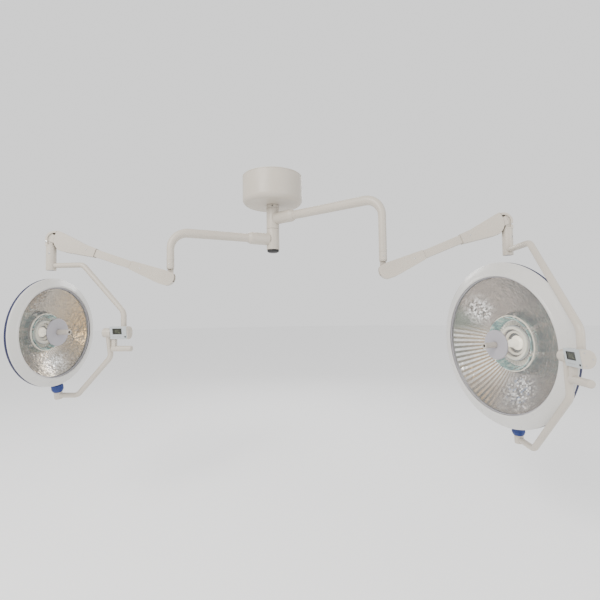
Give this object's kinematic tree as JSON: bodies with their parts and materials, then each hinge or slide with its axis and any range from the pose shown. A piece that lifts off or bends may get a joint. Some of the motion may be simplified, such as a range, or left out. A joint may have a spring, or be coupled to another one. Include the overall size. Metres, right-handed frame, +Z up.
{
  "type": "surgical light",
  "caption": "Ceiling-mounted surgical light: a large and a small round reflector head, each on a swinging arm, a counterbalanced spring arm and a swivelling yoke.",
  "frame": {"origin": "centre of the ceiling plate's upper face, on the spindle axis", "axes": "+Z up along the spindle; the side seen in the picture faces -Y; the large head is on the +X side"},
  "size_m": [2.3092, 1.1489, 1.3239],
  "materials": {
    "paint": "warm off-white powder coat, satin",
    "steel": "plain",
    "black": "matte",
    "screen": "dark liquid-crystal display behind a clear window",
    "key": "matte",
    "knob": "blue, satin",
    "shell": "off-white, satin",
    "trim": "dark blue, matte",
    "bezel": "white, satin",
    "front_glass": "clear, polished",
    "mirror": "facetted, polished",
    "lamp": "clear with coated filter glass",
    "disc": "light grey, matte",
    "socket": "satin"
  },
  "bodies": {
    "ceiling": {"ceiling_plate": "steel", "canopy": "paint", "canopy_collar": "paint", "collar_screw": "black", "spindle": "steel", "spindle_cap": "black"},
    "major_arm": {"major_arm_hub": "paint", "major_arm_tube": "paint"},
    "major_knuckle": {"major_rear_knuckle": "paint"},
    "major_beam": {"major_beam": "paint", "major_rear_pin": "steel", "major_front_pin": "steel", "major_balance_spring": "steel", "major_rear_cover": "paint", "major_front_cover": "paint"},
    "major_tie": {"major_tie_rod": "steel"},
    "major_front": {"major_front_knuckle": "paint"},
    "major_yoke": {"major_yoke_hub": "paint", "major_upper_yoke": "paint", "major_control_box": "paint", "major_display": "screen", "major_side_handle": "paint"},
    "major_key": {"major_power_key": "key"},
    "major_cradle": {"major_lower_yoke": "paint"},
    "major_head": {"major_bezel": "bezel", "major_trim_ring": "trim", "major_back_shell": "shell", "major_front_glass": "front_glass", "major_reflector": "mirror", "major_lamp_module": "lamp", "major_centre_disc": "disc", "major_pivot_knob": "knob"},
    "major_focus": {"major_handle_socket": "socket"},
    "minor_arm": {"minor_arm_hub": "paint", "minor_arm_tube": "paint"},
    "minor_knuckle": {"minor_rear_knuckle": "paint"},
    "minor_beam": {"minor_beam": "paint", "minor_rear_pin": "steel", "minor_front_pin": "steel", "minor_balance_spring": "steel", "minor_rear_cover": "paint", "minor_front_cover": "paint"},
    "minor_tie": {"minor_tie_rod": "steel"},
    "minor_front": {"minor_front_knuckle": "paint"},
    "minor_yoke": {"minor_yoke_hub": "paint", "minor_upper_yoke": "paint", "minor_control_box": "paint", "minor_display": "screen", "minor_side_handle": "paint"},
    "minor_key": {"minor_power_key": "key"},
    "minor_cradle": {"minor_lower_yoke": "paint"},
    "minor_head": {"minor_bezel": "bezel", "minor_trim_ring": "trim", "minor_back_shell": "shell", "minor_front_glass": "front_glass", "minor_reflector": "mirror", "minor_lamp_module": "lamp", "minor_centre_disc": "disc", "minor_pivot_knob": "knob"},
    "minor_focus": {"minor_handle_socket": "socket"}
  },
  "joints": [
    {"name": "major_arm_swivel", "type": "hinge", "parent": "ceiling", "child": "major_arm", "pos_m": [0, 0, -0.2308], "axis": [0, 0, 1], "range_deg": [-75, 150]},
    {"name": "major_spring_swivel", "type": "hinge", "parent": "major_arm", "child": "major_knuckle", "pos_m": [0.49705, -0.39679, -0.564], "axis": [0, 0, 1], "range_deg": [-130, 90]},
    {"name": "major_spring_pitch", "type": "hinge", "parent": "major_knuckle", "child": "major_beam", "pos_m": [0.51718, -0.40066, -0.564], "axis": [-0.1891, -0.982, 0], "range_deg": [-56.5, 6.5]},
    {"name": "major_tie_pitch", "type": "hinge", "parent": "major_knuckle", "child": "major_tie", "pos_m": [0.51718, -0.40066, -0.575], "axis": [-0.1891, -0.982, 0], "range_deg": [-57, 7]},
    {"name": "major_front_level", "type": "hinge", "parent": "major_beam", "child": "major_front", "pos_m": [1.00323, -0.49426, -0.36902], "axis": [-0.1891, -0.982, 0], "range_deg": [-7, 57]},
    {"name": "major_yoke_swivel", "type": "hinge", "parent": "major_front", "child": "major_yoke", "pos_m": [1.02336, -0.49814, -0.91], "axis": [0, 0, 1], "range_deg": [-165, 165]},
    {"name": "major_cradle_roll", "type": "hinge", "parent": "major_yoke", "child": "major_cradle", "pos_m": [0.96706, -0.87041, -0.91], "axis": [-0.1495, -0.9888, 0], "range_deg": [-82.6, 77.4]},
    {"name": "major_head_turn", "type": "hinge", "parent": "major_cradle", "child": "major_head", "pos_m": [1.02336, -0.49814, -0.91], "axis": [-0.0449, 0.0068, 0.999], "range_deg": [-150, 150]},
    {"name": "major_handle_turn", "type": "hinge", "parent": "major_head", "child": "major_focus", "pos_m": [0.96204, -0.51, -0.90066], "axis": [-0.9803, -0.1927, -0.0427], "range_deg": [-150, 150]},
    {"name": "major_power_key", "type": "slide", "parent": "major_yoke", "child": "major_key", "axis": [0.9767, -0.1477, 0.156], "range_m": [0, 0.001], "stiffness_N_per_m": 400},
    {"name": "minor_arm_swivel", "type": "hinge", "parent": "ceiling", "child": "minor_arm", "pos_m": [0, 0, -0.3455], "axis": [0, 0, 1], "range_deg": [-150, 75]},
    {"name": "minor_spring_swivel", "type": "hinge", "parent": "minor_arm", "child": "minor_knuckle", "pos_m": [-0.50294, -0.19105, -0.569], "axis": [0, 0, 1], "range_deg": [-100, 120]},
    {"name": "minor_spring_pitch", "type": "hinge", "parent": "minor_knuckle", "child": "minor_beam", "pos_m": [-0.5234, -0.19226, -0.569], "axis": [-0.0593, 0.9982, 0], "range_deg": [-54.6, 8.4]},
    {"name": "minor_tie_pitch", "type": "hinge", "parent": "minor_knuckle", "child": "minor_tie", "pos_m": [-0.5234, -0.19226, -0.58], "axis": [-0.0593, 0.9982, 0], "range_deg": [-55.1, 8.9]},
    {"name": "minor_front_level", "type": "hinge", "parent": "minor_beam", "child": "minor_front", "pos_m": [-1.02369, -0.22199, -0.39054], "axis": [-0.0593, 0.9982, 0], "range_deg": [-8.9, 55.1]},
    {"name": "minor_yoke_swivel", "type": "hinge", "parent": "minor_front", "child": "minor_yoke", "pos_m": [-1.04416, -0.2232, -0.832], "axis": [0, 0, 1], "range_deg": [-165, 165]},
    {"name": "minor_cradle_roll", "type": "hinge", "parent": "minor_yoke", "child": "minor_cradle", "pos_m": [-0.762, -0.26991, -0.832], "axis": [0.9866, -0.1633, 0], "range_deg": [-90.4, 69.6]},
    {"name": "minor_head_turn", "type": "hinge", "parent": "minor_cradle", "child": "minor_head", "pos_m": [-1.04416, -0.2232, -0.832], "axis": [-0.0295, -0.1781, 0.9836], "range_deg": [-150, 150]},
    {"name": "minor_handle_turn", "type": "hinge", "parent": "minor_head", "child": "minor_focus", "pos_m": [-1.01698, -0.23026, -0.82636], "axis": [0.9768, -0.2139, -0.0094], "range_deg": [-150, 150]},
    {"name": "minor_power_key", "type": "slide", "parent": "minor_yoke", "child": "minor_key", "axis": [0.1613, 0.9745, 0.156], "range_m": [0, 0.001], "stiffness_N_per_m": 400}
  ],
  "couplings": [
    {"joint": "major_tie_pitch", "follows": "major_spring_pitch", "ratio": 1},
    {"joint": "major_front_level", "follows": "major_spring_pitch", "ratio": -1},
    {"joint": "minor_tie_pitch", "follows": "minor_spring_pitch", "ratio": 1},
    {"joint": "minor_front_level", "follows": "minor_spring_pitch", "ratio": -1}
  ]
}
